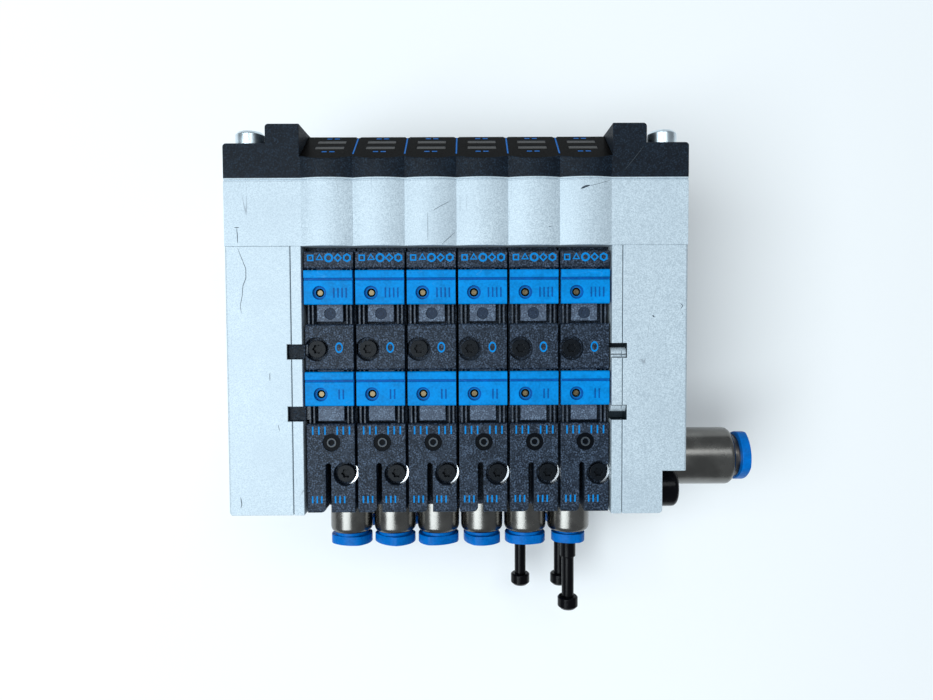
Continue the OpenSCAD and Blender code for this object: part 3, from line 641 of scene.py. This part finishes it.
def legend_marks():
    """Bars below and above the light windows, and the lines between the slices' legends."""
    tower_over_slope = 0.4
    foot_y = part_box("terminal_cover")[1].y - (SLOPE_RISE + tower_over_slope) * MM
    foot = Matrix.Translation((0, foot_y, FRONT))
    bar_right = 0.75
    bar_size = (1.0, 0.45)
    line_up = 5.4
    line_size = (0.28, 8.6)
    slope = Solid(foot @ Matrix.Rotation(SLOPE_LEAN - math.pi / 2, 4, "X"))
    for x in MIDDLES:
        for side in (-1, 1):
            for up in (2.3, 9.4):
                slope.bar(side * bar_right, up, *bar_size, *PRINT, (x, 0, 0))
    for a, b in zip(MIDDLES, MIDDLES[1:]):
        slope.bar(0, line_up, *line_size, *PRINT, ((a + b) / 2, 0, 0))
    slope.piece("legend_marks", "legend_ink", "root", "blue_plastic")


def slide_marks():
    """Raised tally strokes on every slide: four on the upper ones, two on the lower ones."""
    tally_right = 2.3
    stroke_step = 0.8
    stroke_size = (0.26, 1.9)
    stroke_heights = (-0.14, -0.04)
    for kind, strokes in (("14", 4), ("12", 2)):
        for i, x in zip(SLICES, MIDDLES):
            tally = Solid()
            y = SLIDES[kind][i - 1][1].y - PIN_DOWN * MM
            for n in range(strokes):
                right = tally_right + (n - (strokes - 1) / 2) * stroke_step
                tally.bar(right, 0, *stroke_size, *stroke_heights, (x, y, FRONT))
            body = f"override_slide_{kind}_{i}"
            # The strokes take the darker blue, as painted shade on the edges of raised marks.
            tally.piece(f"slide_tally_{kind}_{i}", "blue_painted_shade", body, "blue_plastic")


def moulding_marks():
    """The smooth dark floors and pale rims of the covers' round marks, and the panels' discs."""
    mark_right = 0.15
    mark_floor = -0.31
    disc_floor = (-0.16, -0.13)
    dark = Solid()
    rims = Solid()
    discs = Solid()
    for x in MIDDLES:
        mark = (x + mark_right * MM, TOP_12 - ROUND_MARK_DOWN * MM, BLOCK)
        dark.turned(annulus(1.71, 0.94, mark_floor, -0.28), mark)
        dark.turned(annulus(0.53, 0.01, mark_floor, -0.29), mark, steps=24)
        rims.turned(annulus(0.9, 0.66, -0.01, 0.02), mark)
        disc = (x, TOP_14 - DISC_DOWN * MM, PANEL)
        discs.turned(annulus(1.05, 0.62, *disc_floor), disc)
        discs.turned(annulus(0.5, 0.01, *disc_floor), disc, steps=24)
    dark.piece("mark_discs", "mark", "root", "black_plastic")
    rims.piece("mark_rims", "rim", "root", "black_plastic")
    discs.piece("panel_discs", "panel_mark", "root", "black_plastic")


def painted_screw_glints():
    """Painted highlights: bright plated crescents beside the lower cover screws, put where light glints in
    their counterbores.
    """
    outer = 2.32
    thickness = 0.42
    first_angle, last_angle = -78, 38
    steps = 20
    glint_right = 2.85
    glint_heights = (-1.75, -1.6)
    angles = [math.radians(first_angle + (last_angle - first_angle) * n / steps) for n in range(steps + 1)]
    widths = [thickness * math.sin(math.pi * n / steps) ** 0.8 for n in range(steps + 1)]
    rim = [(outer * math.cos(a), outer * math.sin(a)) for a in angles]
    inside = [((outer - w) * math.cos(a), (outer - w) * math.sin(a)) for a, w in zip(angles, widths)]
    crescent = rim + inside[-2:0:-1]
    seats = Solid()
    for x in MIDDLES:
        seats.prism(crescent, *glint_heights, (x + glint_right * MM, TOP_12 - GLINT_DOWN * MM, BLOCK))
    seats.piece("painted_screw_glints", "glint", "root", "screw_steel")


def wear_marks():
    """Scratches and scuffs on the metal and the black cover, laid on the surface under them.

    Each is a path of places in millimetres and a width.
    """
    scuffs = [
        ([(-42.4, 29.8), (-42.3, 28.3), (-42.3, 26.9)], 0.14),
        ([(-42.3, 26.0), (-41.9, 24.9), (-41.4, 23.6), (-40.8, 22.0), (-40.8, 20.2), (-41.4, 18.7),
          (-41.6, 16.7), (-42.0, 14.8), (-41.8, 13.4)], 0.12),
        ([(-42.9, 29.9), (-41.9, 29.9)], 0.16),
        ([(-4.5, 32.9), (-3.0, 33.8), (-1.3, 34.7)], 0.09),
        ([(-5.5, 32.6), (-5.5, 27.2)], 0.07),
        ([(-2.8, 26.5), (-0.3, 28.9)], 0.09),
        ([(23.9, 37.0), (24.8, 37.4), (25.6, 37.6)], 0.4),
        ([(25.6, 37.5), (27.6, 38.0), (29.6, 38.7)], 0.07),
        ([(17.7, 29.8), (18.3, 29.9)], 0.12),
        ([(43.4, 15.0), (43.9, 14.5), (43.5, 13.9)], 0.14),
        ([(43.7, 13.2), (44.0, 12.8)], 0.2),
        ([(38.0, 12.7), (38.4, 12.3)], 0.25),
        ([(-36.5, 1.8), (-36.5, 0.2)], 0.12),
        ([(-35.0, -8.4), (-34.8, -9.6)], 0.1),
        ([(-42.6, -22.6), (-42.4, -24.0), (-42.6, -24.8)], 0.16),
    ]
    metal = SurfaceMarks("left_end_plate", "right_end_plate", "terminal_housing")
    for path, width in scuffs:
        metal.stroke(path, width)
    metal.piece("metal_scuffs", "scuff", "anodised_aluminium")
    plastic = SurfaceMarks("terminal_cover")
    plastic.stroke([(32.4, 40.6), (34.4, 43.0), (36.2, 45.3)], 0.07)
    plastic.piece("cover_scuffs", "pale_scuff", "cover_plastic")


def connector_details():
    """The black insulator face and the 13 + 12 contacts of the multi-pin connector."""
    low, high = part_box("multipin_connector")
    middle_z = (low.z + high.z) / 2
    turn = Matrix.Translation((0, high.y, middle_z)) @ Matrix.Rotation(-math.pi / 2, 4, "X")
    contact_step = 2.77
    row_offset = 1.42
    contact = [(0.01, -4), (0.42, -4), (0.42, -0.9), (0.2, -0.6), (0.01, -0.6)]
    contacts = Solid(turn)
    sockets = Solid(turn)
    for count, offset in ((13, -row_offset), (12, row_offset)):
        for n in range(count):
            place = ((n - (count - 1) / 2) * contact_step * MM, offset * MM, 0)
            contacts.turned(contact, place, steps=16)
            sockets.rim(regular(4, 1.95, 45), regular(4, 0.55, 45), -0.01, 0.02, place)
    contacts.piece("connector_contacts", "gold", "root", "connector_metal", smooth=True)
    sockets.piece("connector_insulator", "insulator", "root", "black_plastic")


printed_marks()
legend_marks()
slide_marks()
moulding_marks()
painted_screw_glints()
wear_marks()
connector_details()


# ---- Floor, light and camera ----

def floor():
    """A plain pale plane, just behind the mounting face."""
    gap = 0.2 * MM
    bpy.ops.mesh.primitive_plane_add(size=4, location=(0, 0, -gap))
    plane = bpy.context.object
    plane.name = "floor"
    s = Shader("floor_pale")
    shades = [(0.3, (0.88, 0.88, 0.88)), (0.7, (0.92, 0.92, 0.92))]
    s.surface(Base_Color=s.ramp(s.noise(400, 1), shades), Roughness=0.9)
    plane.data.materials.append(s.material)


def area_light(name, place, target, size, power, colour):
    """A soft rectangle of light at a place in metres, aimed at a target."""
    light = bpy.data.lights.new(name, "AREA")
    light.shape = "RECTANGLE"
    light.size, light.size_y = size
    light.energy = power
    light.color = colour
    lamp = bpy.data.objects.new(name, light)
    lamp.location = place
    lamp.rotation_euler = (Vector(target) - Vector(place)).to_track_quat("-Z", "Y").to_euler()
    bpy.context.scene.collection.objects.link(lamp)


def camera():
    """Stands over the front plane, right of and above the middle, tilted towards the tube ports."""
    distance = 136.9
    right = 2.4
    up = 11.9
    tilt = (-2.44, -0.38, -0.26)
    data = bpy.data.cameras.new("camera")
    data.sensor_width = 36
    data.lens = 27.16
    data.shift_x = -0.0082
    eye = bpy.data.objects.new("camera", data)
    eye.location = (right * MM, up * MM, FRONT + distance * MM)
    eye.rotation_euler = [math.radians(angle) for angle in tilt]
    bpy.context.scene.collection.objects.link(eye)
    bpy.context.scene.camera = eye


def light():
    """A large soft key from the left, a weak fill from the upper right, and an even sky."""
    scene = bpy.context.scene
    scene.view_settings.view_transform = "Standard"
    world = bpy.data.worlds.new("studio")
    world.use_nodes = True
    sky = world.node_tree.nodes["Background"]
    sky.inputs["Color"].default_value = (0.86, 0.94, 1, 1)
    sky.inputs["Strength"].default_value = 0.29
    scene.world = world
    area_light("key", place=(-0.40, -0.07, 0.88), target=(-0.02, 0, 0.03),
               size=(0.66, 0.72), power=9.6, colour=(0.86, 0.95, 1))
    area_light("top_fill", place=(0.16, 0.34, 0.75), target=(0.02, 0, 0.03),
               size=(0.4, 0.25), power=1.0, colour=(0.92, 0.97, 1))


floor()
light()
camera()
